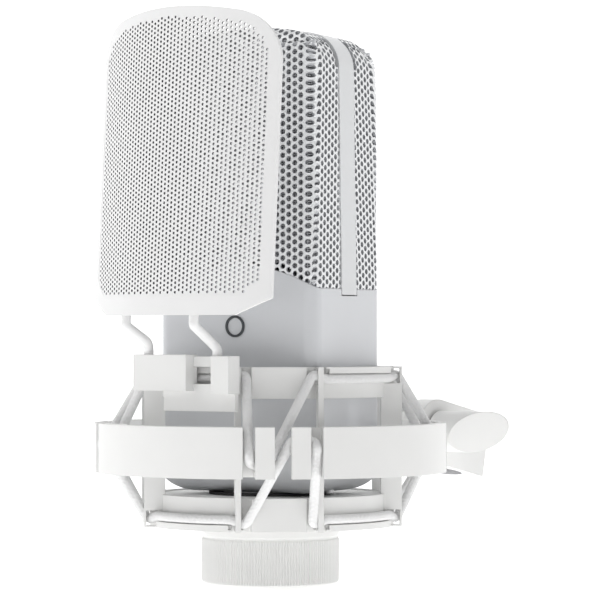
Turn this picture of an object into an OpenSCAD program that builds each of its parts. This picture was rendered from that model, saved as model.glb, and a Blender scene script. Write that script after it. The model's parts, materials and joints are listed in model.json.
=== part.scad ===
// Desktop side-address condenser microphone in an elastic shock mount, with a clip-on pop filter.
// Millimetres, +Z up, -Y to the front of the shock mount.
// The origin is the mouth of the stand thread in the swivel adapter, where a stand is screwed in.
// Inside the sub-part modules, z = 0 is the underside of the ring nut and the Z axis is the
// microphone's own axis: placed() moves that to the part's frame.

/* [Microphone] */
// Width of the housing
body_w = 54; // [50:0.5:60]
// Depth of the housing
body_d = 41; // [36:0.5:46]
// Rounding of the upright corners
body_r = 4.1; // [2:0.1:8]
// Wall of the housing
body_wall = 2; // [1.2:0.1:3]
// Underside of the housing, where it rests on its pad
body_z0 = 30; // [28:0.1:32]
// Rounding of the bowl at the bottom
bowl_r = 9; // [4:0.5:12]
// Seam between housing and head at the sides
seam_z = 88; // [80:0.5:95]
// Height of the seam in the middle of the front
seam_arch_z = 97; // [92:0.5:100]
// Top of the head
head_top = 167.6; // [150:0.2:180]
// Lean of the grille faces in degrees
grille_lean = 3.3; // [0:0.1:6]
// Lean of the side band in degrees
band_lean = 0.85; // [0:0.05:3]
// Wall of the head's frame
frame_wall = 2; // [1.4:0.1:3]
// Wall of the grilles
grille_wall = 1; // [0.6:0.1:1.6]
// Width of the smooth band over the head
band_w = 9; // [6:0.2:14]
// How far the microphone is turned in its cradle
mic_turn = 10.8; // [0:0.1:30]

/* [Neck and socket] */
// Radius of the threaded neck
neck_r = 14; // [12:0.1:16]
// Radius of the cable socket
socket_r = 8.1; // [8:0.05:8.5]
// Depth of the cable socket
socket_deep = 14.5; // [12:0.5:18]
// Radius of a contact pin
pin_r = 1.2; // [1:0.05:1.4]

/* [Ring nut] */
// Radius of the ring nut
nut_r = 20.65; // [18:0.05:24]
// Height of the ring nut
nut_h = 19.5; // [14:0.5:24]
// Running clearance on the neck's thread
thread_gap = 0.06; // [0.02:0.01:0.1]

/* [Capsule] */
// Radius of the capsule's ring
capsule_r = 17; // [12:0.5:18]
// Height of the capsule's centre
capsule_z = 134; // [125:1:140]
// Radius of each diaphragm
diaphragm_r = 13.2; // [10:0.2:15]

/* [Cradle] */
// Underside of the cradle
cradle_z0 = 19.8; // [19:0.1:22]
// Top of the cradle
cradle_z1 = 67.2; // [60:0.2:75]
// Top of the lower ring
low_ring_z1 = 29.4; // [26:0.2:34]
// Underside of the upper ring
high_ring_z0 = 58.1; // [54:0.2:62]
// Inner radius of the cradle
cradle_ri = 33.5; // [33:0.1:36]
// Outer radius of the cradle's walls
cradle_rw = 35.1; // [34.5:0.1:38]
// Outer radius of the cradle's lips
lip_r = 37.7; // [36:0.1:40]
// Height of a lip
lip_h = 1.9; // [1:0.1:3]
// Distance of a cord panel's face from the axis
panel_face = 36.3; // [35.5:0.1:38]
// Half-width of a cord panel
panel_half = 8; // [6:0.1:10]

/* [Outer ring] */
// Underside of the outer ring
ring_z0 = 35.7; // [30:0.1:40]
// Top of the outer ring
ring_z1 = 50.4; // [45:0.1:56]
// Outer radius of the outer ring
ring_ro = 52.8; // [50:0.1:56]
// Thickness of the ring's band
ring_t = 2.9; // [2:0.1:4]

/* [Elastic cords] */
// Radius of the elastic cord
cord_r = 1.4; // [1.2:0.05:1.6]
// Sideways place of the cord's hooks on the cradle
hook_t = 9.6; // [9:0.1:10.5]

/* [Swivel] */
// Distance of the swivel's axle behind the microphone's axis
axle_y = 68; // [62:0.5:76]
// Height of the swivel's axle
axle_z = 46.3; // [40:0.1:50]
// Radius of the swivel's screw
axle_r = 2.5; // [2:0.1:4]
// Lean of the adapter in degrees
adapter_lean = 12; // [0:1:30]
// Half-width of the adapter
adapter_half = 11; // [10:0.1:14]
// Half-thickness of the ring's tongue
tongue_half = 4; // [3:0.1:5]
// Distance from axle to stand thread
thread_back = 16.5; // [15.5:0.1:20]
// Radius of the stand thread
stand_r = 7.94; // [7.9:0.01:8]
// Length of the stand thread
stand_len = 16; // [10:0.5:20]
// Radius of the clamp knob
knob_r = 6.45; // [5:0.05:9]
// Length of the clamp knob to the middle of its oblique end
knob_len = 15.6; // [10:0.1:20]

/* [Pop filter] */
// Radius of the curved sheet
sheet_r = 68; // [60:0.5:90]
// Place of the sheet's centre of curvature from the axis, sideways
sheet_x = 7.3; // [0:0.1:10]
// Place of the sheet's centre of curvature behind the axis
sheet_y = 12; // [5:0.1:20]
// Left edge of the sheet, as an angle round the centre of curvature
sheet_a0 = -31.5; // [-36:0.1:-26]
// Right edge of the sheet, as an angle
sheet_a1 = 29.9; // [26:0.1:36]
// Lower edge of the sheet
sheet_z0 = 82; // [78:0.2:90]
// Top of the sheet
sheet_z1 = 170; // [160:0.2:176]
// Lean of the sheet to the back, in degrees
sheet_lean = 3.6; // [0:0.1:8]
// Thickness of the sheet
sheet_t = 0.9; // [0.6:0.05:1.5]
// Plain border at the sides of the sheet
border_side = 2.6; // [2:0.1:5]
// Plain border at the bottom of the sheet
border_low = 5.6; // [3:0.1:8]
// Radius of the bent wires
wire_r = 1.4; // [1:0.05:1.6]
// Turn of the pop filter and its bracket
filter_turn = 4.3; // [0:0.1:10]

/* [Hidden] */
$fn = 96;
round_fn = 48;
big = 400;
gap = 0.3;
knuckle = 0.03;
// Mouth of the stand thread, seen from the microphone's axis and the nut's underside.
adapter_low = 10;
thread_y = axle_y + thread_back * cos(adapter_lean) - adapter_low * sin(adapter_lean);
thread_z = axle_z - thread_back * sin(adapter_lean) - adapter_low * cos(adapter_lean);
stations = [45, 135, 225, 315];
// The head's plan at its seam.
lean_y = body_d / 2;
crown_r = 80;
shoulder_r = 11;
floor_z0 = 27;
floor_z1 = 29;
pad_h = 0.9;
shell_in = body_wall + 0.4;
white = [0.93, 0.93, 0.92];
silver = [0.78, 0.79, 0.8];
steel = [0.6, 0.6, 0.62];
brass = [0.8, 0.65, 0.35];
dark = [0.2, 0.2, 0.22];

module placed() { translate([0, -thread_y, -thread_z]) children(); }
module in_mic() { placed() rotate([0, 0, mic_turn]) children(); }
module in_adapter() { placed() translate([0, axle_y, axle_z]) rotate([-adapter_lean, 0, 0]) children(); }
// A frame at one cord station: +X is to the right seen from outside, +Y is away from the axis.
module at_station(a) { rotate([0, 0, a - 90]) mirror([1, 0, 0]) children(); }
module tube(ro, ri, z0, z1) {
  difference() {
    translate([0, 0, z0]) cylinder(r = ro, h = z1 - z0);
    translate([0, 0, z0 - 1]) cylinder(r = ri, h = z1 - z0 + 2);
  }
}
module block(x0, x1, y0, y1, z0, z1) { translate([x0, y0, z0]) cube([x1 - x0, y1 - y0, z1 - z0]); }
module rounded_rect(w, d, r) {
  square([w - 2 * r, d], center = true);
  square([w, d - 2 * r], center = true);
  for (sx = [-1, 1])
    for (sy = [-1, 1])
      translate([sx * (w / 2 - r), sy * (d / 2 - r)]) circle(r = r, $fn = round_fn);
}
// A straight round bar between two points, with round ends.
module bar(a, b, r) {
  v = b - a;
  l = norm(v);
  translate(a) rotate([0, acos(v[2] / l), atan2(v[1], v[0])]) cylinder(r = r, h = l, $fn = round_fn);
}
module chain(points, r) {
  for (i = [0 : len(points) - 2]) bar(points[i], points[i + 1], r);
  for (i = [1 : len(points) - 2]) translate(points[i]) sphere(r = r + knuckle, $fn = round_fn);
}

// ---- microphone ----
// Everything inside the outer surface of housing and head, drawn in by t.
module mic_solid(t, lean = true) {
  intersection() {
    translate([0, 0, body_z0 + t])
      linear_extrude(height = big) rounded_rect(body_w - 2 * t, body_d - 2 * t, body_r - min(t, 2.5));
    // bowl at the bottom, seen from the front and from the side
    rotate([90, 0, 0]) linear_extrude(height = big, center = true) bowl_profile(body_w / 2 - t, t);
    rotate([90, 0, 90]) linear_extrude(height = big, center = true) bowl_profile(body_d / 2 - t, t);
    lean_cut(-1, t, lean ? grille_lean : 0);
    lean_cut(1, t, lean ? grille_lean : 0);
    rotate([90, 0, 0]) linear_extrude(height = big, center = true) head_front(t);
    rotate([90, 0, 90]) linear_extrude(height = big, center = true) head_side(t);
  }
}
module bowl_profile(half, t) {
  r = bowl_r - t;
  translate([-half, body_z0 + t + r]) square([2 * half, big]);
  translate([-half + r, body_z0 + t]) square([2 * (half - r), big]);
  for (s = [-1, 1]) translate([s * (half - r), body_z0 + t + r]) circle(r = r);
}
// Upright prism that leans to the back from the seam up: one grille face and its rounded corners.
module lean_cut(s, t, lean) {
  translate([0, 0, seam_z])
    rotate([s * lean, 0, 0])
      linear_extrude(height = big, center = true)
        intersection() {
          translate([-big / 2, s > 0 ? -lean_y + t : -big / 2]) square([big, lean_y - t + big / 2]);
          translate([0, s * 30]) rounded_rect(body_w - 2 * t, body_d - 2 * t + 60, body_r - min(t, 2.5));
        }
}
module head_front(t) {
  // The shoulders' arcs run on from the crown's arc without a step.
  xc = body_w / 2 - shoulder_r - 1;
  zc = head_top - crown_r + sqrt((crown_r - shoulder_r) * (crown_r - shoulder_r) - xc * xc);
  r = shoulder_r - t;
  side = r - knuckle;
  half = body_w / 2 - t;
  meet = xc * (crown_r - t) / (crown_r - shoulder_r);
  intersection() {
    translate([0, head_top - crown_r]) circle(r = crown_r - t, $fn = 180);
    union() {
      translate([-meet, seam_z]) square([2 * meet, big]);
      polygon([[-half, seam_z - 1], [half, seam_z - 1], [xc + side * cos(band_lean), zc + side * sin(band_lean)],
        [-xc - side * cos(band_lean), zc + side * sin(band_lean)]]);
      for (s = [-1, 1]) translate([s * xc, zc]) circle(r = r, $fn = 128);
    }
  }
  translate([-body_w / 2 - 1, 0]) square([body_w + 2, seam_z]);
}
module head_side(t) {
  r = 6;
  half = body_d / 2 - t;
  translate([-half - 1, 0]) square([2 * half + 2, head_top - t - r]);
  reach = half - (head_top - t - r - seam_z) * tan(grille_lean);
  translate([-reach + r, 0]) square([2 * (reach - r), head_top - t]);
  for (s = [-1, 1]) translate([s * (reach - r), head_top - t - r]) circle(r = r);
}
// Room above the seam: flat at the sides, an arch at front and back.
module above_seam(lift) {
  translate([-big / 2, -big / 2, seam_z + lift]) cube([big, big, big]);
}
module arch(lift) {
  rise = seam_arch_z - seam_z - 1.9;
  r = (27 * 27 + rise * rise) / (2 * rise);
  rotate([90, 0, 0])
    linear_extrude(height = big, center = true)
      translate([0, seam_arch_z - r]) circle(r = r + lift, $fn = 180);
}
module arch_zone(lift) {
  intersection() {
    arch(lift);
    translate([-big / 2, -big / 2, seam_z - 2]) cube([big, big, 30]);
    difference() {
      cube([big, big, big], center = true);
      translate([0, 0, seam_z]) cube([big, band_w - 2 * lift + 0.6, 60], center = true);
    }
  }
}
module seam_cut(lift) {
  difference() {
    above_seam(lift);
    arch_zone(lift);
  }
}
module front_half(y) { translate([-big / 2, -big / 2, 0]) cube([big, big / 2 - y, big]); }
module rear_half(y) { translate([-big / 2, y, 0]) cube([big, big / 2 - y, big]); }

module body_shell() color(silver) in_mic() {
  difference() {
    mic_solid(0, false);
    mic_solid(body_wall, false);
    seam_cut(0);
    translate([0, 0, body_z0 - 1]) cylinder(r = neck_r - 2, h = 10);
    for (s = [-1, 1]) translate([s * 20, 0, body_z0 - 1]) cylinder(r = 1.6, h = 8, $fn = round_fn);
  }
}
module threaded_neck() color(steel) in_mic() difference() {
  union() {
    translate([0, 0, 3]) cylinder(r = neck_r, h = body_z0 - 3.02);
    translate([0, 0, body_z0 - 1]) cylinder(r = neck_r - 2.02, h = 6);
  }
  translate([0, 0, 2]) cylinder(r = socket_r, h = socket_deep + 1);
  translate([0, 0, 3 + socket_deep - 0.01]) cylinder(r = 10.5, h = 40);
  translate([0, neck_r - 4.6, 2]) block(-1.2, 1.2, 0, 1.6, 0, 6);
}
module xlr_insert() color(dark) in_mic() difference() {
  translate([0, 0, 3 + socket_deep]) cylinder(r = 10.48, h = 5);
  for (p = pin_places) translate([p[0], p[1], 10]) cylinder(r = pin_r, h = 20, $fn = round_fn);
}
pin_places = [[-3.6, 1.4], [3.6, 1.4], [0, -3.2]];
module xlr_pins() color(brass) in_mic()
  for (p = pin_places) translate([p[0], p[1], 6]) {
    cylinder(r = pin_r, h = 20, $fn = round_fn);
    sphere(r = pin_r, $fn = round_fn);
  }
module head_frame() color(silver) in_mic() {
  difference() {
    mic_solid(0);
    mic_solid(frame_wall);
    translate([-big / 2, -big / 2, -1]) cube([big, big, seam_z + gap + 1]);
    front_half(band_w / 2);
    rear_half(band_w / 2);
  }
  // foot rails that stand on the head plate
  for (s = [-1, 1]) block(s * 24.4 - 1, s * 24.4 + 1, -3.4, 3.4, seam_z + gap + 2, seam_z + 6);
}
module grille(side) {
  difference() {
    mic_solid(0.15);
    mic_solid(0.15 + grille_wall);
    translate([-big / 2, -big / 2, -1]) cube([big, big, seam_z + 1 + gap]);
    arch(gap);
    if (side < 0) rear_half(-band_w / 2 - gap);
    if (side > 0) front_half(-band_w / 2 - gap);
  }
}
module inner_mesh(side) {
  difference() {
    mic_solid(1.75);
    mic_solid(2.1);
    translate([-big / 2, -big / 2, -1]) cube([big, big, seam_z + 3]);
    arch(2);
    if (side < 0) rear_half(-band_w / 2 - gap);
    if (side > 0) front_half(-band_w / 2 - gap);
  }
}
module front_grille() color(white) in_mic() grille(-1);
module rear_grille() color(white) in_mic() grille(1);
module front_mesh() color(steel) in_mic() inner_mesh(-1);
module rear_mesh() color(steel) in_mic() inner_mesh(1);
module head_plate() color(steel) in_mic() difference() {
  translate([0, 0, seam_z - 3])
    linear_extrude(height = 2.6) rounded_rect(body_w - 2 * shell_in, body_d - 2 * shell_in, 2.2);
  translate([0, 0, seam_z - 4]) cylinder(r = 3, h = 6, $fn = round_fn);
}
module capsule_saddle() color(dark) in_mic() {
  translate([0, 0, seam_z - 0.35]) cylinder(r = 9, h = 5);
  difference() {
    block(-4.5, 4.5, -3.5, 3.5, seam_z + 4, capsule_z - capsule_r + 3);
    translate([0, 0, capsule_z]) rotate([90, 0, 0]) cylinder(r = capsule_r + 0.02, h = 20, center = true);
  }
}
module capsule_ring() color(brass) in_mic() translate([0, 0, capsule_z]) rotate([90, 0, 0])
  difference() {
    cylinder(r = capsule_r, h = 9, center = true);
    cylinder(r = diaphragm_r + 0.4, h = 12, center = true);
    for (a = [15 : 45 : 360]) rotate([0, 0, a]) translate([capsule_r - 1.9, 0, 0])
      cylinder(r = 0.6, h = 12, center = true, $fn = 32);
  }
module capsule_backplate() color(brass) in_mic() translate([0, 0, capsule_z]) rotate([90, 0, 0])
  cylinder(r = diaphragm_r + 0.38, h = 6, center = true);
module diaphragm(side) translate([0, side * 3.6, capsule_z]) rotate([90, 0, 0]) {
  cylinder(r = diaphragm_r + 0.2, h = 0.3, center = true);
  cylinder(r = 1.1, h = 0.9, center = true, $fn = round_fn);
}
module front_diaphragm() color(brass) in_mic() diaphragm(-1);
module rear_diaphragm() color(brass) in_mic() diaphragm(1);
module chassis_rails() color(steel) in_mic() for (s = [-1, 1]) {
  block(s * 19 - 1.5, s * 19 + 1.5, -3, 3, body_z0 + body_wall + 1.1, seam_z - 3.1);
}
module circuit_board() color([0.1, 0.35, 0.2]) in_mic()
  block(-19, 19, 3.05, 4.65, body_z0 + 12, seam_z - 8);
module output_parts() color(dark) in_mic() {
  block(-7, 7, -9, 3, body_z0 + 14, body_z0 + 28);
  for (x = [-12, 0, 12]) translate([x, -0.4, body_z0 + 38]) cylinder(r = 3.3, h = 9, $fn = round_fn);
  for (x = [-12, 0, 12]) block(x - 1, x + 1, -0.4, 3, body_z0 + 37, body_z0 + 39);
}
module body_screws() color(steel) in_mic() for (s = [-1, 1]) translate([s * 20, 0, 0]) {
  translate([0, 0, body_z0 - 0.4]) cylinder(r = 1.5, h = 2.4, $fn = round_fn);
}
module polar_mark() color(dark) in_mic() translate([0, -body_d / 2 - 0.2, 79]) rotate([90, 0, 0]) {
  linear_extrude(height = 0.4, center = true) difference() {
    circle(r = 3.2, $fn = 64);
    circle(r = 2.5, $fn = 64);
  }
}

// ---- ring nut ----
module ring_nut() color(white) in_mic() difference() {
  union() {
    translate([0, 0, 0]) cylinder(r1 = 17.5, r2 = nut_r, h = 2.7);
    translate([0, 0, 2.7]) cylinder(r = nut_r, h = nut_h - 3.2);
    translate([0, 0, nut_h - 0.5]) cylinder(r1 = nut_r, r2 = nut_r - 0.5, h = 0.5);
  }
  translate([0, 0, -1]) cylinder(r = neck_r + thread_gap, h = 40);
}
module nut_washer() color(steel) in_mic() tube(18.5, neck_r + 0.4, nut_h, nut_h + 0.8);

// ---- cradle ----
post_in = 33.4;
post_out = 38.2;
cord_groove_r = 36.8;
cord_high = 63.8;
cord_low = 23.2;
arc_t = 13.67;
module cradle_level(z0, z1, lip_z) {
  tube(cradle_rw, cradle_ri, z0, z1);
  difference() {
    tube(lip_r, cradle_ri, lip_z, lip_z + lip_h);
    for (a = stations) at_station(a) block(-13.7, 13.7, 20, 50, lip_z - 1, lip_z + lip_h + 1);
  }
  for (a = stations) at_station(a) block(-panel_half, panel_half, 34, panel_face, z0, z1);
}
// Openings in the posts, where the cords run through from the grooves to the hooks.
module cord_holes(z0, z1) {
  for (a = stations) at_station(a) for (s = [-1, 1])
    block(s * 12.4 - 2.2, s * 12.4 + 2.2, post_in - 0.2, post_out - 0.6, z0, z1);
}
module cradle_basket() color(white) placed() {
  difference() {
    union() {
      cradle_level(cradle_z0, low_ring_z1, cradle_z0);
      cradle_level(high_ring_z0, cradle_z1, cradle_z1 - lip_h);
      for (a = stations) at_station(a) for (s = [-1, 1])
        block(s * 11.9 - 0.85, s * 11.9 + 0.85, post_in - 1.5, post_out, cradle_z0, cradle_z1);
      tube(cradle_ri + 0.5, cradle_ri - 1.3, floor_z0 - 1.6, floor_z0);
    }
    translate([0, 0, floor_z0]) cylinder(r = cradle_ri, h = big);
    cord_holes(cord_high - 1.6, 66.6);
    cord_holes(20.4, cord_low + 1.6);
  }
}
module floor_plate() color(white) placed() {
  tube(cradle_ri - 0.02, neck_r + 0.4, floor_z0, floor_z1);
  tube(19, neck_r + 0.4, nut_h + 1.2, floor_z0 + 0.1);
}
module floor_pad() color(dark) placed() tube(18.4, 15.2, floor_z1, floor_z1 + pad_h - 0.02);

// ---- outer ring ----
slot_t = 11.4;
wall_r0 = 43.2;
wall_r1 = 44.8;
block_r0 = 50.4;
inner_z0 = ring_z0 + 0.3;
inner_z1 = ring_z1 - 0.3;
span_t = 5.2;
span_z0 = 42.3;
span_z1 = 43.8;
block_t0 = 2.4;
block_t1 = 7.9;
module outer_ring() color(white) placed() {
  difference() {
    tube(ring_ro, ring_ro - ring_t, ring_z0, ring_z1);
    for (a = stations) at_station(a) block(-slot_t, slot_t, 40, 60, ring_z0 - 1, ring_z1 + 1);
  }
  intersection() {
    tube(ring_ro, block_r0, ring_z0, ring_z1);
    for (a = stations) at_station(a) for (s = [-1, 1])
      block(s < 0 ? -block_t1 : block_t0, s < 0 ? -block_t0 : block_t1, 40, 60, ring_z0, ring_z1);
  }
  for (a = stations) at_station(a) {
    // inner wall behind the cords
    block(-slot_t - 1.8, slot_t + 1.8, wall_r0, wall_r1, span_z0, span_z1);
    block(-slot_t - 1.8, -span_t, wall_r0, wall_r1, inner_z0, span_z1);
    block(span_t, slot_t + 1.8, wall_r0, wall_r1, span_z0, inner_z1);
    // webs from the wall to the two blocks
    block(-block_t1 + 0.1, -span_t, wall_r0, 51.4, inner_z0, ring_z0 + 1.8);
    block(span_t, block_t1 - 0.1, wall_r0, 51.4, ring_z1 - 1.8, inner_z1);
    // cheeks that tie the wall to the band
    for (s = [-1, 1]) block(s * (slot_t + 0.9) - 0.9, s * (slot_t + 0.9) + 0.9, wall_r0, 50.6, inner_z0, inner_z1);
  }
  // tongue of the swivel
  difference() {
    union() {
      block(-tongue_half, tongue_half, ring_ro - 1.5, axle_y, axle_z - 5.2, axle_z + 3.8);
      translate([0, axle_y, axle_z]) rotate([0, 90, 0]) cylinder(r = 6, h = 2 * tongue_half, center = true);
      block(-9, 9, ring_ro - 2.2, ring_ro + 1.6, ring_z0 + 1, ring_z1 - 1);
    }
    translate([0, axle_y, axle_z]) rotate([0, 90, 0]) cylinder(r = axle_r + 0.05, h = 40, center = true);
  }
}

// ---- elastic cords ----
// A point at the cord station at angle a: t to the right seen from outside, r away from the axis.
function at(a, p) = [-p[0] * sin(a) + p[1] * cos(a), p[0] * cos(a) + p[1] * sin(a), p[2]];
module groove_arc(a, z) {
  half = 90 / 2 - atan2(arc_t, 34.17);
  rotate([0, 0, a + 45 - half]) rotate_extrude(angle = 2 * half) translate([cord_groove_r, z]) circle(r = cord_r, $fn = round_fn);
}
// Upper cord: groove, hook, down to the left slot, behind the left block, up to the right hook.
upper_route = [[-arc_t, 34.17, cord_high], [-hook_t, 37, 65], [-9.65, 50.9, 41.6], [-9.3, 48.8, 40.2],
  [-7.6, 46.7, 39.5], [-3.8, 47.7, 39.9], [-3.2, 47.6, 41.5], [hook_t, 37, 65], [arc_t, 34.17, cord_high]];
// Lower cord: groove, hook, up to the right slot, behind the right block, down to the left hook.
lower_route = [[arc_t, 34.17, cord_low], [hook_t, 37, 22], [9.65, 50.9, 44.5], [9.3, 48.8, 45.9],
  [7.6, 47.9, 46.6], [2.7, 48, 46.6], [1.1, 48.8, 43.4], [-hook_t, 37, 22], [-arc_t, 34.17, cord_low]];
module elastic(route) placed() for (a = stations) {
  points = [for (p = route) at(a, p)];
  chain(points, cord_r);
  for (e = [0, len(route) - 1]) translate(points[e]) sphere(r = cord_r + knuckle, $fn = round_fn);
  groove_arc(a, route[0][2]);
}
module upper_elastic() color(white) elastic(upper_route);
module lower_elastic() color(white) elastic(lower_route);

// ---- swivel ----
module cross(r, x0, x1) { translate([x0, 0, 0]) rotate([0, 90, 0]) cylinder(r = r, h = x1 - x0, $fn = round_fn); }
module stand_adapter() color(white) in_adapter() difference() {
  intersection() {
    union() {
      cross(10, -adapter_half, adapter_half);
      block(-adapter_half, adapter_half, 0, 27.6, -10, 10);
    }
    rotate([90, 0, 90]) linear_extrude(height = 40, center = true) {
      translate([-12, -12]) square([35.6, 24]);
      translate([-12, -12]) square([38.2, 18]);
      translate([22.6, 6]) circle(r = 4.2);
    }
  }
  block(-tongue_half - gap, tongue_half + gap, -20, 6.9, -20, 20);
  cross(axle_r, -40, 40);
  translate([-adapter_half - 0.01, 0, 0]) rotate([0, 90, 0]) cylinder(r = 4.6, h = 2.6, $fn = 6);
  translate([0, thread_back, -adapter_low - 1]) cylinder(r = stand_r + 1, h = stand_len + 1);
}
module thread_bushing() color(steel) in_adapter() translate([0, thread_back, -adapter_low])
  difference() {
    cylinder(r = stand_r + 1, h = stand_len);
    translate([0, 0, -1]) cylinder(r = stand_r, h = stand_len + 2);
  }
module clamp_nut() color(steel) in_adapter() difference() {
  translate([-adapter_half, 0, 0]) rotate([0, 90, 0]) cylinder(r = 4.5, h = 2.5, $fn = 6);
  cross(axle_r + 0.05, -40, 40);
}
module clamp_screw() color(steel) in_adapter() {
  cross(axle_r - 0.05, -adapter_half - 1, adapter_half + 8);
}
module clamp_washer() color(steel) in_adapter() difference() {
  cross(5.6, adapter_half + gap, adapter_half + gap + 0.8);
  cross(axle_r, -40, 40);
}
module clamp_knob() color(white) in_adapter() rotate([adapter_lean, 0, 0]) difference() {
  cross(knob_r, adapter_half + gap + 0.8, adapter_half + knob_len + 12);
  cross(axle_r - 0.04, 0, adapter_half + 8.02);
  // oblique end
  translate([adapter_half + knob_len + 0.4, 0, 0])
    multmatrix([[1, 1, 0.5, 0], [0, 1, 0, 0], [0, 0, 1, 0], [0, 0, 0, 1]])
      block(0, 60, -30, 30, -30, 30);
}

// ---- pop filter ----
module in_filter() { placed() rotate([0, 0, filter_turn]) children(); }
module filter_bracket() color(white) in_filter() difference() {
  union() {
    block(-8, 18, -41, -39.4, 54.5, 70.3);
    block(-16.5, 3, -44.6, -39.4, 60.3, 70.8);
    block(12, 18.4, -44.6, -39.4, 59.6, 70.4);
    // teeth over and under the cradle's upper ring
    block(-10, 10, -41, -34.6, cradle_z1 + 0.6, cradle_z1 + 2.4);
    block(-6, 10, -41, -34.6, high_ring_z0 - 2.2, high_ring_z0 - 0.4);
  }
  block(3, 12, -60, -38, 62.4, 67.3);
  for (x = wire_x) translate([x, wire_y, 61.4]) cylinder(r = wire_r + 0.05, h = 20, $fn = round_fn);
}
sheet_corner = 15;
sheet_crown = 120;
low_corner = 9.5;
wire_x = [-12.3, 12.9];
wire_y = -42.6;
module filter_wires() color(white) placed() for (w = wire_x) {
  c = cos(filter_turn);
  s = sin(filter_turn);
  foot = [w * c - wire_y * s, w * s + wire_y * c];
  x = foot[0] + (w > 0 ? 1.4 : -1.4);
  chain([[foot[0], foot[1], 62], [foot[0], foot[1], 72.5], [foot[0] + (w > 0 ? -1 : 1), foot[1] - 1.6, 74.4],
    [x, behind_sheet(x, 79.2), 79.2], [x, behind_sheet(x, 81), 81], [x, behind_sheet(x, 88), 88]], wire_r);
}
// Where a wire runs behind the sheet without touching it.
function behind_sheet(x, z) = sheet_at(x, z) + sheet_t / 2 + wire_r + 0.45;
// y of the sheet's middle at a sideways place and a height
function sheet_at(x, z) = sheet_y - sqrt(sheet_r * sheet_r - (x - sheet_x) * (x - sheet_x))
  + (z - sheet_z0) * tan(sheet_lean);
module sheet_solid(inset) {
  translate([sheet_x, sheet_y, sheet_z0])
    intersection() {
      multmatrix([[1, 0, 0, 0], [0, 1, tan(sheet_lean), 0], [0, 0, 1, 0], [0, 0, 0, 1]])
        difference() {
          translate([0, 0, -5]) cylinder(r = sheet_r + sheet_t / 2, h = 110, $fn = 180);
          translate([0, 0, -6]) cylinder(r = sheet_r - sheet_t / 2, h = 112, $fn = 180);
        }
      rotate([90, 0, 0]) linear_extrude(height = 120) sheet_outline(inset);
    }
}
// Outline seen square from the front: chamfered low corners, wide round top corners and a crowned top.
module sheet_outline(inset) {
  x0 = sheet_r * sin(sheet_a0) + inset * border_side;
  x1 = sheet_r * sin(sheet_a1) - inset * border_side;
  z0 = inset * border_low;
  z1 = sheet_z1 - sheet_z0 - inset * border_side;
  corner = sheet_corner - inset * border_side;
  crown = sheet_crown - inset * border_side;
  low = low_corner * (1 - inset * 0.5);
  xm = (x0 + x1) / 2;
  xc = (x1 - x0) / 2 - corner;
  zc = z1 - crown + sqrt((crown - corner) * (crown - corner) - xc * xc);
  meet = xc * crown / (crown - corner);
  translate([xm, 0]) intersection() {
    translate([0, z1 - crown]) circle(r = crown, $fn = 360);
    union() {
      translate([-xc - corner, z0 + 4.6]) square([2 * (xc + corner), zc - z0 - 4.6]);
      translate([-meet, z0 + 4.6]) square([2 * meet, z1 - z0]);
      for (s = [-1, 1]) translate([s * xc, zc]) circle(r = corner);
      polygon([[-xc - corner + low, z0], [xc + corner - low, z0],
        [xc + corner, z0 + 4.61], [-xc - corner, z0 + 4.61]]);
    }
  }
}
module filter_screen() color(white) placed() sheet_solid(1);
module filter_border() color(white) placed() difference() {
  sheet_solid(0);
  translate([sheet_x, sheet_y, sheet_z0])
    rotate([90, 0, 0]) linear_extrude(height = 120) sheet_outline(1);
}

stand_adapter();
thread_bushing();
clamp_nut();
clamp_screw();
clamp_knob();
clamp_washer();
outer_ring();
upper_elastic();
lower_elastic();
cradle_basket();
floor_plate();
floor_pad();
ring_nut();
nut_washer();
body_shell();
threaded_neck();
xlr_insert();
xlr_pins();
head_frame();
front_grille();
rear_grille();
front_mesh();
rear_mesh();
head_plate();
capsule_saddle();
capsule_ring();
capsule_backplate();
front_diaphragm();
rear_diaphragm();
chassis_rails();
circuit_board();
output_parts();
body_screws();
polar_mark();
filter_bracket();
filter_wires();
filter_border();
filter_screen();
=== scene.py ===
import json
import math

import bmesh
import bpy
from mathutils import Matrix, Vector
from mathutils.bvhtree import BVHTree


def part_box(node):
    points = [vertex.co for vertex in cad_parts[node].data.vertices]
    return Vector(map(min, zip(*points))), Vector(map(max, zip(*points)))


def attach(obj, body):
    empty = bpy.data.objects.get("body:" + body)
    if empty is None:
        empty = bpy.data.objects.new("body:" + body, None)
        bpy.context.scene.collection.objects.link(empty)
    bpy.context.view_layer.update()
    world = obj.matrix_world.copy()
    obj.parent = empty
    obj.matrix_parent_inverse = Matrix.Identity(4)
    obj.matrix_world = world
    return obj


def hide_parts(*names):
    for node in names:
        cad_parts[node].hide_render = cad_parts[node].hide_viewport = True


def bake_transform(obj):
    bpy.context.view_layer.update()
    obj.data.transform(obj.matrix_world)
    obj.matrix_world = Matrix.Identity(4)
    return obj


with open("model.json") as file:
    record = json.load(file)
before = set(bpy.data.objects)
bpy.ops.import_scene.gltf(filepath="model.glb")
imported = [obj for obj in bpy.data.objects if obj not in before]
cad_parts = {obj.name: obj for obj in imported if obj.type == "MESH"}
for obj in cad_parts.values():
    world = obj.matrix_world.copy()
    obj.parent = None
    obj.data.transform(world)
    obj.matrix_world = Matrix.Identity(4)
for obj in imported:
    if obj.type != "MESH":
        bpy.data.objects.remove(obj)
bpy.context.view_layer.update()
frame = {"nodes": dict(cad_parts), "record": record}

MM = 0.001
# the microphone's axis and the underside of the ring nut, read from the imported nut
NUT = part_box("ring_nut")
AXIS = Vector(((NUT[0][0] + NUT[1][0]) / 2, (NUT[0][1] + NUT[1][1]) / 2, NUT[0][2]))
TURN = math.radians(10.8)  # the microphone is turned in its cradle
COS, SIN = math.cos(TURN), math.sin(TURN)


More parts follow.
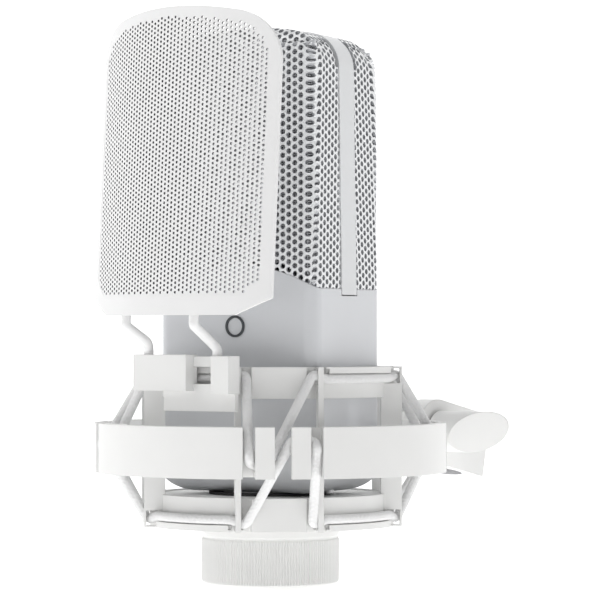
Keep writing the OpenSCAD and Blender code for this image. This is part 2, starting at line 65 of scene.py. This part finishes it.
def mount(x, y, z):
    """Millimetres in the shock mount's frame to metres in the part's frame."""
    return AXIS + Vector((x, y, z)) * MM


def mic(x, y, z):
    """The same, for the turned microphone."""
    return mount(x * COS - y * SIN, x * SIN + y * COS, z)


# ---------------------------------------------------------------- materials
def material(name, color, rough=0.4, metallic=0.0, grain=0.0, grain_size=900.0, mottle=0.02,
             bevel=0.0, coat=0.0, ior=1.47, subsurface=0.0, rough_vary=0.05):
    m = bpy.data.materials.new(name)
    m.use_nodes = True
    nt = m.node_tree
    n, l = nt.nodes, nt.links
    b = n["Principled BSDF"]
    b.inputs["Roughness"].default_value = rough
    b.inputs["Metallic"].default_value = metallic
    b.inputs["IOR"].default_value = ior
    b.inputs["Coat Weight"].default_value = coat
    b.inputs["Coat Roughness"].default_value = 0.25
    b.inputs["Subsurface Weight"].default_value = subsurface
    b.inputs["Subsurface Radius"].default_value = (0.002, 0.002, 0.002)
    tc = n.new("ShaderNodeTexCoord")
    big = n.new("ShaderNodeTexNoise")
    big.inputs["Scale"].default_value = 60.0
    big.inputs["Detail"].default_value = 4.0
    l.new(tc.outputs["Object"], big.inputs["Vector"])
    ramp = n.new("ShaderNodeMapRange")
    ramp.inputs["From Min"].default_value = 0.3
    ramp.inputs["From Max"].default_value = 0.7
    ramp.inputs["To Min"].default_value = 1.0 - mottle
    ramp.inputs["To Max"].default_value = 1.0 + mottle
    l.new(big.outputs["Fac"], ramp.inputs["Value"])
    tint = n.new("ShaderNodeMix")
    tint.data_type = "RGBA"
    tint.blend_type = "MULTIPLY"
    tint.inputs["Factor"].default_value = 1.0
    tint.inputs["A"].default_value = (*color, 1.0)
    l.new(ramp.outputs["Result"], tint.inputs["B"])
    l.new(tint.outputs["Result"], b.inputs["Base Color"])
    vary = n.new("ShaderNodeMapRange")
    vary.inputs["To Min"].default_value = rough - rough_vary
    vary.inputs["To Max"].default_value = rough + rough_vary
    l.new(big.outputs["Fac"], vary.inputs["Value"])
    l.new(vary.outputs["Result"], b.inputs["Roughness"])
    normal = None
    if bevel:
        bv = n.new("ShaderNodeBevel")
        bv.samples = 6
        bv.inputs["Radius"].default_value = bevel * MM
        normal = bv.outputs["Normal"]
    if grain:
        fine = n.new("ShaderNodeTexNoise")
        fine.inputs["Scale"].default_value = grain_size
        fine.inputs["Detail"].default_value = 3.0
        l.new(tc.outputs["Object"], fine.inputs["Vector"])
        bump = n.new("ShaderNodeBump")
        bump.inputs["Strength"].default_value = grain
        bump.inputs["Distance"].default_value = 0.00006
        l.new(fine.outputs["Fac"], bump.inputs["Height"])
        if normal:
            l.new(normal, bump.inputs["Normal"])
        normal = bump.outputs["Normal"]
    if normal:
        l.new(normal, b.inputs["Normal"])
    return m


def weave_material(name, light, gap_shade, pitch):
    """Fine woven wire: bright wires over gaps in a near-black colour, which is painted shade for the shaded
    inside seen through the weave; laid along the wall's two directions.
    """
    m = material(name, light, rough=0.35, metallic=0.6, mottle=0.04)
    nt = m.node_tree
    n, l = nt.nodes, nt.links
    tc = next(x for x in n if x.type == "TEX_COORD")
    b = n["Principled BSDF"]
    sep = n.new("ShaderNodeSeparateXYZ")
    l.new(tc.outputs["Object"], sep.inputs["Vector"])
    across = n.new("ShaderNodeMath")
    across.operation = "SUBTRACT"
    l.new(sep.outputs["X"], across.inputs[0])
    l.new(sep.outputs["Y"], across.inputs[1])
    waves = []
    for src in (across.outputs[0], sep.outputs["Z"]):
        s = n.new("ShaderNodeMath")
        s.operation = "MULTIPLY"
        s.inputs[1].default_value = math.pi / (pitch * MM)
        l.new(src, s.inputs[0])
        c = n.new("ShaderNodeMath")
        c.operation = "SINE"
        l.new(s.outputs[0], c.inputs[0])
        a = n.new("ShaderNodeMath")
        a.operation = "ABSOLUTE"
        l.new(c.outputs[0], a.inputs[0])
        waves.append(a.outputs[0])
    top = n.new("ShaderNodeMath")
    top.operation = "MAXIMUM"
    l.new(waves[0], top.inputs[0])
    l.new(waves[1], top.inputs[1])
    step = n.new("ShaderNodeMapRange")
    step.inputs["From Min"].default_value = 0.80
    step.inputs["From Max"].default_value = 0.95
    l.new(top.outputs[0], step.inputs["Value"])
    # painted shade: the gaps between the wires are given a near-black colour, standing in for the shaded
    # inside of the head seen through them
    mix = n.new("ShaderNodeMix")
    mix.data_type = "RGBA"
    mix.inputs["A"].default_value = (*gap_shade, 1)
    mix.inputs["B"].default_value = (*light, 1)
    l.new(step.outputs["Result"], mix.inputs["Factor"])
    l.new(mix.outputs["Result"], b.inputs["Base Color"])
    bump = n.new("ShaderNodeBump")
    bump.inputs["Strength"].default_value = 0.6
    bump.inputs["Distance"].default_value = 0.0002
    l.new(top.outputs[0], bump.inputs["Height"])
    l.new(bump.outputs["Normal"], b.inputs["Normal"])
    return m


def braid_material(name, color):
    """Braided sleeve on the elastic cords: crossing strands from the tube's own UV."""
    m = material(name, color, rough=0.62, mottle=0.02)
    nt = m.node_tree
    n, l = nt.nodes, nt.links
    b = n["Principled BSDF"]
    tc = next(x for x in n if x.type == "TEX_COORD")
    sep = n.new("ShaderNodeSeparateXYZ")
    l.new(tc.outputs["UV"], sep.inputs["Vector"])
    waves = []
    for sign in (1, -1):
        u = n.new("ShaderNodeMath")
        u.operation = "MULTIPLY"
        u.inputs[1].default_value = sign * 5 * math.tau
        l.new(sep.outputs["X"], u.inputs[0])
        v = n.new("ShaderNodeMath")
        v.operation = "MULTIPLY"
        v.inputs[1].default_value = math.tau / 0.0016
        l.new(sep.outputs["Y"], v.inputs[0])
        add = n.new("ShaderNodeMath")
        add.operation = "ADD"
        l.new(u.outputs[0], add.inputs[0])
        l.new(v.outputs[0], add.inputs[1])
        s = n.new("ShaderNodeMath")
        s.operation = "SINE"
        l.new(add.outputs[0], s.inputs[0])
        waves.append(s.outputs[0])
    top = n.new("ShaderNodeMath")
    top.operation = "MAXIMUM"
    l.new(waves[0], top.inputs[0])
    l.new(waves[1], top.inputs[1])
    bump = n.new("ShaderNodeBump")
    bump.inputs["Strength"].default_value = 0.45
    bump.inputs["Distance"].default_value = 0.00012
    l.new(top.outputs[0], bump.inputs["Height"])
    l.new(bump.outputs["Normal"], b.inputs["Normal"])
    return m


WHITE = material("mount_white", (0.83, 0.83, 0.82), rough=0.42, grain=0.25, grain_size=2600,
                 bevel=0.35, mottle=0.012)
SHEET = material("filter_white", (0.85, 0.85, 0.85), rough=0.4, grain=0.15, grain_size=2600, mottle=0.01)
WIRE = material("wire_white", (0.84, 0.84, 0.84), rough=0.33, coat=0.3, mottle=0.01)
CORD = braid_material("cord_white", (0.83, 0.83, 0.83))
SILVER = material("body_silver", (0.66, 0.67, 0.69), rough=0.38, metallic=0.2,
                  grain=0.2, grain_size=5200, bevel=0.4, mottle=0.015)
BAND = material("band_silver", (0.70, 0.71, 0.72), rough=0.35, metallic=0.2,
                grain=0.15, grain_size=5200, bevel=0.3, mottle=0.012)
GRILLE = material("grille_white", (0.84, 0.85, 0.86), rough=0.32, metallic=0.1, coat=0.2, mottle=0.015)
# painted shade: the weave's gaps are near-black, standing in for the shaded inside behind the mesh
MESH = weave_material("mesh_steel", (0.80, 0.81, 0.83), (0.13, 0.13, 0.14), 0.62)
STEEL = material("steel", (0.78, 0.78, 0.79), rough=0.35, metallic=0.8, grain=0.3, bevel=0.2)
BRASS = material("brass", (0.72, 0.55, 0.28), rough=0.3, metallic=1.0, grain=0.3, bevel=0.2)
GOLD = material("gold", (0.92, 0.72, 0.34), rough=0.18, metallic=1.0, mottle=0.01)
RUBBER = material("pad_rubber", (0.03, 0.03, 0.032), rough=0.75, grain=0.5)
BLACK = material("insulator", (0.025, 0.025, 0.03), rough=0.5, grain=0.4, bevel=0.2)
BOARD = material("board_green", (0.03, 0.17, 0.08), rough=0.4, grain=0.3, mottle=0.1)
MARK = material("mark_grey", (0.05, 0.055, 0.06), rough=0.5, grain=0.2)
# painted shade: the filter's hole walls get a near-black grey so the holes read as shaded dots, standing in
# for the shade inside them
FILTER_HOLE_SHADE = material("filter_hole_painted_shade", (0.12, 0.12, 0.125), rough=0.6, mottle=0.05)
# painted shade: the grille's hole walls get a mid grey, standing in for the shade inside the holes
GRILLE_HOLE_SHADE = material("grille_hole_painted_shade", (0.50, 0.51, 0.53), rough=0.45, metallic=0.3, mottle=0.05)
BY_SLOT = {
    "adapter_plastic": WHITE, "mount_white": WHITE, "cord_white": CORD, "pad_rubber": RUBBER,
    "body_silver": SILVER, "grille_white": GRILLE, "mesh_steel": MESH, "steel": STEEL, "brass": BRASS,
    "gold": GOLD, "insulator": BLACK, "board_green": BOARD, "mark_grey": MARK, "filter_white": SHEET,
    "wire_white": WIRE,
}
for part in frame["record"]["subparts"]:
    node = frame["nodes"][part["node"]]
    node.data.materials.clear()
    node.data.materials.append(BAND if part["node"] == "head_frame" else BY_SLOT[part["material_slot"]])


# ---------------------------------------------------------------- helpers
def obj_from(name, verts, faces, mat, uvs=None, smooth=True):
    me = bpy.data.meshes.new(name)
    me.from_pydata([tuple(v) for v in verts], [], faces)
    me.materials.append(mat)
    if uvs is not None:
        layer = me.uv_layers.new(name="UVMap")
        flat = [c for f in uvs for uv in f for c in uv]
        layer.data.foreach_set("uv", flat)
    me.update()
    ob = bpy.data.objects.new(name, me)
    bpy.context.collection.objects.link(ob)
    if smooth:
        me.polygons.foreach_set("use_smooth", [True] * len(me.polygons))
    return ob


def rounded(points, radius, closed=False, steps=5):
    """The polyline with every corner replaced by an arc-like curve of about that radius."""
    out = []
    n = len(points)
    for i, p in enumerate(points):
        if not closed and i in (0, n - 1):
            out.append(p)
            continue
        a, b = points[i - 1], points[(i + 1) % n]
        da, db = (a - p), (b - p)
        cut = min(radius, da.length * 0.45, db.length * 0.45)
        p0, p1 = p + da.normalized() * cut, p + db.normalized() * cut
        for k in range(steps + 1):
            f = k / steps
            out.append(p0 * (1 - f) ** 2 + p * 2 * f * (1 - f) + p1 * f * f)
    return out


def resample(points, step, closed=False):
    pts = points + [points[0]] if closed else points
    out = [pts[0].copy()]
    for a, b in zip(pts[:-1], pts[1:]):
        d = (b - a).length
        if d < 1e-9:
            continue
        k = max(1, int(round(d / step)))
        out += [a.lerp(b, (j + 1) / k) for j in range(k)]
    return out[:-1] if closed else out


def tube(name, points, r, mat, closed=False, sides=20, caps=True):
    """A round tube along points, with U round it and V along it in metres."""
    n = len(points)
    tangents = []
    for i in range(n):
        a = points[i - 1] if (closed or i > 0) else points[i]
        b = points[(i + 1) % n] if (closed or i < n - 1) else points[i]
        tangents.append((b - a).normalized())
    normal = tangents[0].orthogonal().normalized()
    verts, length, lengths, frames = [], 0.0, [], []
    for i, (p, t) in enumerate(zip(points, tangents)):
        if i:
            length += (p - points[i - 1]).length
            normal = (normal - t * normal.dot(t)).normalized()
        lengths.append(length)
        frames.append(normal.copy())
        side = t.cross(normal)
        for k in range(sides):
            a = math.tau * k / sides
            verts.append(p + (normal * math.cos(a) + side * math.sin(a)) * r)
    faces, uvs = [], []
    last = n if closed else n - 1
    shift = 0
    if closed:
        # turn the last ring onto the first where the carried frame has come round
        t = tangents[0]
        back = (frames[-1] - t * frames[-1].dot(t)).normalized()
        ang = math.atan2(back.dot(t.cross(frames[0])), back.dot(frames[0]))
        shift = int(round(ang / math.tau * sides))
    total = length + ((points[0] - points[-1]).length if closed else 0)
    for i in range(last):
        j = (i + 1) % n
        off = shift if (closed and j == 0) else 0
        v0, v1 = lengths[i], (lengths[j] if j else total)
        for k in range(sides):
            k2 = (k + 1) % sides
            a, b = i * sides + k, i * sides + k2
            c, d = j * sides + (k2 + off) % sides, j * sides + (k + off) % sides
            faces.append((a, b, c, d))
            uvs.append(((k / sides, v0), ((k + 1) / sides, v0), ((k + 1) / sides, v1), (k / sides, v1)))
    if caps and not closed:
        faces.append(tuple(range(sides))[::-1])
        uvs.append([(0, 0)] * sides)
        faces.append(tuple(range((n - 1) * sides, n * sides)))
        uvs.append([(0, 0)] * sides)
    return obj_from(name, verts, faces, mat, uvs)


# ---------------------------------------------------------------- elastic cords
ARC_T, GROOVE_R = 13.67, 36.8
HOOK_T = 9.6
UPPER = [(-ARC_T, 34.17, 63.8), (-HOOK_T, 37, 65), (-9.65, 50.9, 41.6), (-9.3, 48.8, 40.2),
         (-7.6, 46.7, 39.5), (-3.8, 47.7, 39.9), (-3.2, 47.6, 41.5), (HOOK_T, 37, 65), (ARC_T, 34.17, 63.8)]
LOWER = [(-ARC_T, 34.17, 23.2), (-HOOK_T, 37, 22), (1.1, 48.8, 43.4), (2.7, 48, 46.6), (7.6, 47.9, 46.6),
         (9.3, 48.8, 45.9), (9.65, 50.9, 44.5), (HOOK_T, 37, 22), (ARC_T, 34.17, 23.2)]


def station_point(angle, p):
    a = math.radians(angle)
    t, r, z = p
    return mount(-t * math.sin(a) + r * math.cos(a), t * math.cos(a) + r * math.sin(a), z)


def elastic(name, route):
    pts = []
    z = route[0][2]
    half = 45 - math.degrees(math.atan2(ARC_T, 34.17))
    for angle in (45, 135, 225, 315):
        local = [station_point(angle, p) for p in route]
        pts += rounded(local, 1.6 * MM, steps=6)
        for k in range(1, 24):
            a = math.radians(angle + 45 - half + 2 * half * k / 24)
            pts.append(mount(GROOVE_R * math.cos(a), GROOVE_R * math.sin(a), z))
    ob = tube(name, resample(pts, 0.8 * MM, closed=True), 1.38 * MM, CORD, closed=True, sides=18)
    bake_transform(ob)
    return ob


up = elastic("upper_cord", UPPER)
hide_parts("upper_elastic")
low = elastic("lower_cord", LOWER)
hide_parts("lower_elastic")

# ---------------------------------------------------------------- perforated shells
def perforated(name, cells, place, hole, pitch_u, pitch_v, thick, mat, wall, sides=12, inward=True):
    """Hexagonal cells with a round hole each, laid out flat in (u, v) and put on the surface by place(u, v).
    cells holds (column, row, open): an open cell has a hole, a closed one is plain."""
    verts, faces, index = [], [], {}

    def vert(u, v):
        key = (round(u, 4), round(v, 4))
        if key not in index:
            index[key] = len(verts)
            verts.append(place(u, v))
        return index[key]

    # Voronoi cell of the staggered grid: two level edges and four slanting ones
    w = pitch_u
    h = pitch_v
    c1 = w / 2 + h * h / (8 * w)
    c0 = w / 2 - h * h / (8 * w)
    hexagon = [(c1, 0), (c0, h / 2), (-c0, h / 2), (-c1, 0), (-c0, -h / 2), (c0, -h / 2)]
    # points of the hole's edge between two neighbouring corners of the cell
    corner_angles = [math.atan2(y, x) for x, y in hexagon]
    per = sides // 6
    for column, row, open_cell in cells:
        cu = column * w
        cv = row * h + (h / 2 if column % 2 else 0)
        outer = [vert(cu + x, cv + y) for x, y in hexagon]
        if not open_cell:
            faces.append(tuple(outer))
            continue
        rim = []
        for i in range(6):
            a0 = corner_angles[i]
            a1 = corner_angles[(i + 1) % 6]
            if a1 < a0:
                a1 += math.tau
            for k in range(per):
                a = a0 + (a1 - a0) * k / per
                rim.append(len(verts))
                verts.append(place(cu + hole / 2 * math.cos(a), cv + hole / 2 * math.sin(a)))
        for i in range(6):
            j = (i + 1) % 6
            mid = [rim[(i * per + k) % len(rim)] for k in range(per + 1)]
            faces.append(tuple([outer[i], outer[j]] + mid[::-1]))
    ob = obj_from(name, verts, faces, mat, smooth=False)
    # the second material goes on the hole walls (the solidify rim); the callers give a grey there that is
    # painted shade for the inside of the holes
    ob.data.materials.append(wall)
    solid = ob.modifiers.new("thickness", "SOLIDIFY")
    solid.thickness = thick
    solid.offset = -1.0 if inward else 0.0
    solid.material_offset_rim = 1
    bpy.context.view_layer.objects.active = ob
    ob.select_set(True)
    bpy.ops.object.modifier_apply(modifier="thickness")
    ob.select_set(False)
    return ob


# the pop filter's sheet: part of a cylinder that leans to the back
SHEET_R, SHEET_X, SHEET_Y, SHEET_Z0, SHEET_Z1 = 68.0, 7.3, 12.0, 82.0, 170.0
LEAN = math.tan(math.radians(3.6))
A0, A1 = math.radians(-31.5), math.radians(29.9)
SIDE, LOWB = 2.6, 5.6


def on_sheet(u, v):
    """Point of the screen's middle surface, u round the cylinder and v up."""
    a = u / SHEET_R
    y = SHEET_Y - SHEET_R * math.cos(a) + (v - SHEET_Z0) * LEAN
    return mount(SHEET_X + SHEET_R * math.sin(a), y, v)


def inside_sheet(u, v, grow):
    """Whether a point of the sheet lies inside the outline of the perforated field, grown by so much."""
    x = SHEET_R * math.sin(u / SHEET_R)
    x0 = SHEET_R * math.sin(A0) + SIDE
    x1 = SHEET_R * math.sin(A1) - SIDE
    z0, z1 = SHEET_Z0 + LOWB, SHEET_Z1 - SIDE
    corner, crown = 15 - SIDE, 120 - SIDE
    xm, half = (x0 + x1) / 2, (x1 - x0) / 2
    dx = abs(x - xm)
    if dx > half + grow or v < z0 - grow:
        return False
    if math.hypot(x - xm, v - (z1 - crown)) > crown + grow:
        return False
    xc = half - corner
    zc = z1 - crown + math.sqrt((crown - corner) ** 2 - xc * xc)
    if dx > xc and v > zc and math.hypot(dx - xc, v - zc) > corner + grow:
        return False
    low = 4.75
    if v < z0 + 4.6 and dx > half - low + (v - z0) / 4.6 * low + grow:
        return False
    return True


PU, PV = 1.36, 1.34
cells = []
for column in range(-32, 33):
    for row in range(55, 132):
        u = column * PU
        v = row * PV + (PV / 2 if column % 2 else 0)
        if inside_sheet(u, v, -0.5):
            cells.append((column, row, True))
        elif inside_sheet(u, v, 1.1):
            cells.append((column, row, False))
SCREEN_HOLE, SCREEN_THICK = 0.80, 0.72
screen = perforated("pop_filter_screen", cells, on_sheet, SCREEN_HOLE, PU, PV, SCREEN_THICK * MM,
                    SHEET, FILTER_HOLE_SHADE, sides=12, inward=False)
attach(screen, "filter")
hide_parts("filter_screen")

# bent wires of the pop filter
C4, S4 = math.cos(math.radians(4.3)), math.sin(math.radians(4.3))


def sheet_y(x, z):
    return SHEET_Y - math.sqrt(SHEET_R ** 2 - (x - SHEET_X) ** 2) + (z - SHEET_Z0) * LEAN


wires = []
for w in (-12.3, 12.9):
    fx, fy = w * C4 + 42.6 * S4, w * S4 - 42.6 * C4
    s = 1 if w > 0 else -1
    x = fx + 1.4 * s
    back = [(fx, fy, 62), (fx, fy, 72.5), (fx - s, fy - 1.6, 74.4)]
    back += [(x, sheet_y(x, z) + 0.45 + 1.4 + 0.45, z) for z in (79.2, 81, 88)]
    pts = rounded([mount(*p) for p in back], 2.4 * MM, steps=8)
    side = "left" if w < 0 else "right"
    wires.append(tube("filter_wire_" + side, resample(pts, 0.7 * MM), 1.4 * MM, WIRE, sides=20))
for ob in wires:
    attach(ob, "filter")
    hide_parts("filter_wires")

# ---------------------------------------------------------------- ring nut with its ribs
profile = [(17.5, 0.02), (18.4, 0.35), (20.1, 2.3), (20.5, 2.9), (20.65, 3.4),
           (20.65, 15.6), (20.3, 16.1), (20.3, 16.5),
           (20.62, 16.9), (20.62, 19.0), (20.2, 19.46)]
RIBS = 150
verts, faces = [], []
SEG = RIBS * 4
for r, z in profile:
    for k in range(SEG):
        rib = 0.0
        if 3.0 < z < 16.0:
            rib = (0.0, 0.0, -0.32, -0.32)[k % 4]
        a = math.tau * k / SEG
        verts.append(mount((r + rib) * math.cos(a), (r + rib) * math.sin(a), z))
inner = [(14.06, 19.46), (14.06, 0.02)]
for r, z in inner:
    for k in range(SEG):
        a = math.tau * k / SEG
        verts.append(mount(r * math.cos(a), r * math.sin(a), z))
rows = len(profile) + len(inner)
for i in range(rows):
    for k in range(SEG):
        k2 = (k + 1) % SEG
        j = (i + 1) % rows
        faces.append((i * SEG + k, i * SEG + k2, j * SEG + k2, j * SEG + k))
nut = obj_from("ribbed_ring_nut", verts, faces, WHITE, smooth=False)
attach(nut, "nut")
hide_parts("ring_nut")

# ---------------------------------------------------------------- head grilles
HOLE, HU, HV = 1.66, 2.0, 2.3


def trees(*names):
    found = []
    for name in names:
        bm = bmesh.new()
        bm.from_mesh(frame["nodes"][name].data)
        found.append(BVHTree.FromBMesh(bm))
        bm.free()
    return found


# half plan of the head: the front, a rounded corner and the side up to the band
HX, HY, CR, BAND_Y, SEAM = 26.85, 20.35, 4.1, 4.5, 88.0
FLAT, ARC = HX - CR, CR * math.pi / 2
LENGTH = FLAT + ARC + HY - CR - BAND_Y
GRILLE_LEAN = math.tan(math.radians(3.3))
TURN_Z, UNDER = 155.0, 0.6


def last_hit(tree, start, way):
    """The outermost point of the shell along a ray."""
    hit, found = tree.ray_cast(start, way, 0.06), None
    while hit[0] is not None:
        found = hit[0]
        hit = tree.ray_cast(found + way * 1e-5, way, 0.06)
    return found


def centre_line(u, z):
    """Where the rays of column u start at height z, and the way they point in plan."""
    side = 1 if u >= 0 else -1
    q = abs(u)
    cy = -(HY - CR) + (z - SEAM) * GRILLE_LEAN
    if q <= FLAT:
        return side * q, cy, 0.0, -1.0
    if q <= FLAT + ARC:
        a = (q - FLAT) / CR
        return side * FLAT, cy, side * math.sin(a), -math.cos(a)
    return side * FLAT, cy + (q - FLAT - ARC), float(side), 0.0


class Shell:
    """Puts (along the plan, along the wall and over the top) on one grille of the head."""

    def __init__(self, node, sign):
        self.grille, self.rest = trees(node)[0], trees("head_frame", "body_shell")
        self.sign = sign
        self.cache = {}

    def cast(self, x, y, z, nx, ny, cz, up):
        if self.sign > 0:
            x, y, nx, ny = -x, -y, -nx, -ny
        start = mic(x, y, z)
        way = Vector(((nx * COS - ny * SIN) * cz, (nx * SIN + ny * COS) * cz, up))
        hit = last_hit(self.grille, start, way)
        if hit is None:
            others = [h for h in (last_hit(t, start, way) for t in self.rest) if h is not None]
            if others:
                hit = max(others, key=lambda h: (h - start).length) - way * UNDER * MM
        return hit

    def profile(self, u):
        key = round(u, 3)
        if key not in self.cache:
            points = []
            for k in range(33):
                z = 84.5 + (TURN_Z - 84.5) * k / 32
                x, y, nx, ny = centre_line(u, z)
                points.append(self.cast(x, y, z, nx, ny, 1.0, 0.0))
            x, y, nx, ny = centre_line(u, TURN_Z)
            for k in range(1, 25):
                a = math.pi / 2 * k / 24
                points.append(self.cast(x, y, TURN_Z, nx, ny, math.cos(a), math.sin(a)))
            if abs(u) <= FLAT:
                for k in range(1, 13):
                    points.append(self.cast(x, y + (-BAND_Y + 1.2 - y) * k / 12, TURN_Z, 0, 0, 0.0, 1.0))
            first = next((i for i, p in enumerate(points) if p is not None), None)
            line = [p for p in points if p is not None]
            lengths = [84.5 + (TURN_Z - 84.5) * (first or 0) / 32]
            for p, q in zip(line[:-1], line[1:]):
                lengths.append(lengths[-1] + (q - p).length / MM)
            self.cache[key] = (line, lengths)
        return self.cache[key]

    def end(self, u):
        return self.profile(u)[1][-1]

    def __call__(self, u, v):
        line, lengths = self.profile(u)
        if v <= lengths[0]:
            d = (line[1] - line[0]).normalized()
            return line[0] + d * (v - lengths[0]) * MM
        for i in range(1, len(lengths)):
            if v <= lengths[i]:
                span = lengths[i] - lengths[i - 1]
                return line[i - 1].lerp(line[i], (v - lengths[i - 1]) / span if span > 1e-9 else 1.0)
        return line[-1]


def seam_height(u):
    """Top edge of the housing below column u: it arches up over the front and is level at the sides."""
    q = abs(u)
    if q > FLAT + ARC / 2:
        return SEAM
    rise = 9.0
    r = (FLAT * FLAT + rise * rise) / (2 * rise)
    return max(SEAM, SEAM + rise - r + math.sqrt(max(r * r - q * q, 0.0)))


def build_grille(name, node, sign):
    place = Shell(node, sign)
    cells = []
    columns = int(LENGTH / HU) + 1
    for column in range(-columns, columns + 1):
        u = column * HU
        if abs(u) > LENGTH + 0.4 * HU:
            continue
        for row in range(36, 92):
            v = row * HV + (HV / 2 if column % 2 else 0)
            if v < seam_height(u) - 1.2 * HV or v > place.end(u) - 0.55 * HV:
                continue
            west, east = place(u - HU * 0.5, v), place(u + HU * 0.5, v)
            south, north = place(u, v - HV * 0.5), place(u, v + HV * 0.5)
            wide, tall = (east - west).length / MM / HU, (north - south).length / MM / HV
            side_y = centre_line(u, min(v, TURN_Z))[1]
            if wide < 0.2 or wide > 2.2 or tall > 1.8 or side_y > -BAND_Y + 0.6 * HU:
                continue
            cells.append((column, row, wide > 0.55 and v > seam_height(u) - 0.1 * HV))
    ob = perforated(name, cells, place, HOLE, HU, HV, 0.8 * MM, GRILLE, GRILLE_HOLE_SHADE, sides=12)
    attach(ob, "microphone")
    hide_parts(node)
    return ob


build_grille("front_perforated_grille", "front_grille", -1)
build_grille("rear_perforated_grille", "rear_grille", 1)

# ---------------------------------------------------------------- stage, light, camera
centre = mount(0, 0, 85)
ground = AXIS.z - 0.0015
verts, faces = [], []
sweep = [(-2.5, 0.0), (0.9, 0.0)]
for k in range(1, 13):
    a = math.pi / 2 * k / 12
    sweep.append((0.9 + 0.8 * math.sin(a), 0.8 - 0.8 * math.cos(a)))
sweep.append((1.7, 3.5))
for d, h in sweep:
    for w in (-4, 4):
        verts.append(Vector((w, d, ground + h)))
for i in range(len(sweep) - 1):
    faces.append((2 * i, 2 * i + 1, 2 * i + 3, 2 * i + 2))
floor_mat = bpy.data.materials.new("pale_floor")
floor_mat.use_nodes = True
fb = floor_mat.node_tree.nodes["Principled BSDF"]
fb.inputs["Base Color"].default_value = (0.93, 0.93, 0.93, 1)
fb.inputs["Roughness"].default_value = 0.9
fb.inputs["Emission Color"].default_value = (1, 1, 1, 1)
fb.inputs["Emission Strength"].default_value = 0.75
floor = obj_from("floor", verts, faces, floor_mat, smooth=True)
AZIMUTH = 41.0
floor.rotation_euler = (0, 0, math.radians(AZIMUTH))

world = bpy.data.worlds.new("studio")
bpy.context.scene.world = world
world.use_nodes = True
world.node_tree.nodes["Background"].inputs["Color"].default_value = (1, 1, 1, 1)
world.node_tree.nodes["Background"].inputs["Strength"].default_value = 0.30


def lamp(name, az, el, dist, size, power, aim=centre, tint=(1, 1, 1)):
    a, e = math.radians(az), math.radians(el)
    data = bpy.data.lights.new(name, "AREA")
    data.energy = power
    data.size = size
    data.color = tint
    ob = bpy.data.objects.new(name, data)
    ob.location = aim + Vector((math.sin(a) * math.cos(e), -math.cos(a) * math.cos(e), math.sin(e))) * dist
    ob.rotation_euler = (aim - ob.location).to_track_quat("-Z", "Y").to_euler()
    bpy.context.collection.objects.link(ob)


lamp("key", AZIMUTH - 70, 40, 0.9, 0.45, 1.7)
lamp("fill", AZIMUTH + 80, 10, 1.0, 0.5, 0.55)
lamp("top", AZIMUTH - 20, 80, 0.9, 0.5, 1.9)
bpy.context.scene.view_settings.view_transform = "Standard"

DIST = 0.845
a = math.radians(AZIMUTH)
eye = mount(0, 0, 74.7) + Vector((math.sin(a), -math.cos(a), 0)) * DIST
cam_data = bpy.data.cameras.new("camera")
cam = bpy.data.objects.new("camera", cam_data)
bpy.context.collection.objects.link(cam)
bpy.context.scene.camera = cam
cam.location = eye
cam.rotation_euler = (math.pi / 2, 0, a)
cam_data.sensor_width = 36.0
PIXEL = 0.30 * MM
cam_data.lens = 36.0 * DIST / (600 * PIXEL)
cam_data.shift_x = (300 - 270.4) / 600
cam_data.shift_y = -(300 - 341) / 600
cam_data.clip_start = 0.05
cam_data.clip_end = 20
